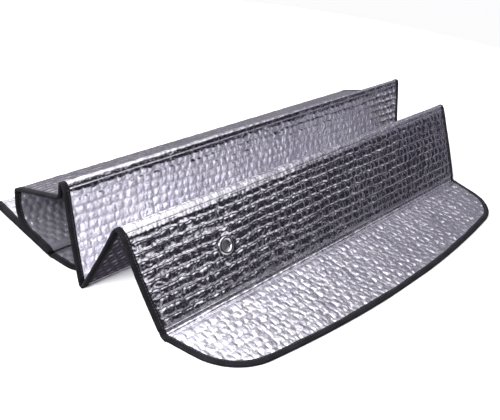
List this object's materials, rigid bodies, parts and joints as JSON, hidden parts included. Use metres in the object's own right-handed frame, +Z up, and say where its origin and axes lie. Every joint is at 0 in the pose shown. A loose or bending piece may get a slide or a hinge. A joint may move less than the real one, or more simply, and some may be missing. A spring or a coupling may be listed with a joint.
{
  "type": "folding reflective foam sleeping pad",
  "caption": "Zigzag-folding pad of reflective bubble-foil laminate with taped edges, rounded end flaps and a metal eyelet, standing half unfolded.",
  "frame": {"origin": "middle of the footprint, on the ground, with the pad standing half unfolded as stored", "axes": "+X along the creases, +Y from the front flap to the folded pack at the back, +Z up"},
  "size_m": [0.6106, 0.4058, 0.1125],
  "materials": {
    "core": "clear polyethylene bubble film",
    "foil": "vacuum-metallised film, mirror-bright, wrinkled over rows of bubbles",
    "binding": "matt charcoal woven polyester tape, folded over the edge and sewn",
    "crease": "laminate pressed flat along the fold",
    "eyelet": "polished nickel-plated brass, rolled rim"
  },
  "bodies": {
    "panel_1": {"panel_1_bubble_core": "core", "panel_1_top_foil": "foil", "panel_1_bottom_foil": "foil", "panel_1_binding": "binding", "crease_1_rib": "crease"},
    "panel_2": {"panel_2_bubble_core": "core", "panel_2_top_foil": "foil", "panel_2_bottom_foil": "foil", "panel_2_binding": "binding", "crease_2_rib": "crease", "crease_1_web": "crease", "eyelet": "eyelet", "eyelet_washer": "eyelet"},
    "panel_3": {"panel_3_bubble_core": "core", "panel_3_top_foil": "foil", "panel_3_bottom_foil": "foil", "panel_3_binding": "binding", "crease_3_rib": "crease", "crease_2_web": "crease"},
    "panel_4": {"panel_4_bubble_core": "core", "panel_4_top_foil": "foil", "panel_4_bottom_foil": "foil", "panel_4_binding": "binding", "crease_4_rib": "crease", "crease_3_web": "crease"},
    "panel_5": {"panel_5_bubble_core": "core", "panel_5_top_foil": "foil", "panel_5_bottom_foil": "foil", "panel_5_binding": "binding", "crease_5_rib": "crease", "crease_4_web": "crease"},
    "panel_6": {"panel_6_bubble_core": "core", "panel_6_top_foil": "foil", "panel_6_bottom_foil": "foil", "panel_6_binding": "binding", "crease_6_rib": "crease", "crease_5_web": "crease"},
    "panel_7": {"panel_7_bubble_core": "core", "panel_7_top_foil": "foil", "panel_7_bottom_foil": "foil", "panel_7_binding": "binding", "crease_7_rib": "crease", "crease_6_web": "crease"},
    "panel_8": {"panel_8_bubble_core": "core", "panel_8_top_foil": "foil", "panel_8_bottom_foil": "foil", "panel_8_binding": "binding", "crease_8_rib": "crease", "crease_7_web": "crease"},
    "panel_9": {"panel_9_bubble_core": "core", "panel_9_top_foil": "foil", "panel_9_bottom_foil": "foil", "panel_9_binding": "binding", "crease_8_web": "crease"}
  },
  "joints": [
    {"name": "crease_1_fold", "type": "hinge", "parent": "panel_1", "child": "panel_2", "pos_m": [0, -0.09738, 0.00395], "axis": [-1, 0, 0], "range_deg": [-114, 60.3]},
    {"name": "crease_2_fold", "type": "hinge", "parent": "panel_2", "child": "panel_3", "pos_m": [0, -0.03734, 0.10094], "axis": [1, 0, 0], "range_deg": [-52, 122.92]},
    {"name": "crease_3_fold", "type": "hinge", "parent": "panel_3", "child": "panel_4", "pos_m": [0, 0.01873, 0.0016], "axis": [-1, 0, 0], "range_deg": [-37, 138.12]},
    {"name": "crease_4_fold", "type": "hinge", "parent": "panel_4", "child": "panel_5", "pos_m": [0, 0.05125, 0.11094], "axis": [1, 0, 0], "range_deg": [0, 104.5]},
    {"name": "crease_5_fold", "type": "hinge", "parent": "panel_5", "child": "panel_6", "pos_m": [0, 0.14725, 0.05694], "axis": [1, 0, 0], "range_deg": [0, 113.92]},
    {"name": "crease_6_fold", "type": "hinge", "parent": "panel_6", "child": "panel_7", "pos_m": [0, 0.08724, 0.00804], "axis": [-1, 0, 0], "range_deg": [0, 146.41]},
    {"name": "crease_7_fold", "type": "hinge", "parent": "panel_7", "child": "panel_8", "pos_m": [0, 0.20128, 0.01091], "axis": [1, 0, 0], "range_deg": [0, 180]},
    {"name": "crease_8_fold", "type": "hinge", "parent": "panel_8", "child": "panel_9", "pos_m": [0, 0.08762, 0.0019], "axis": [1, 0, 0], "range_deg": [0, 3.5]}
  ]
}
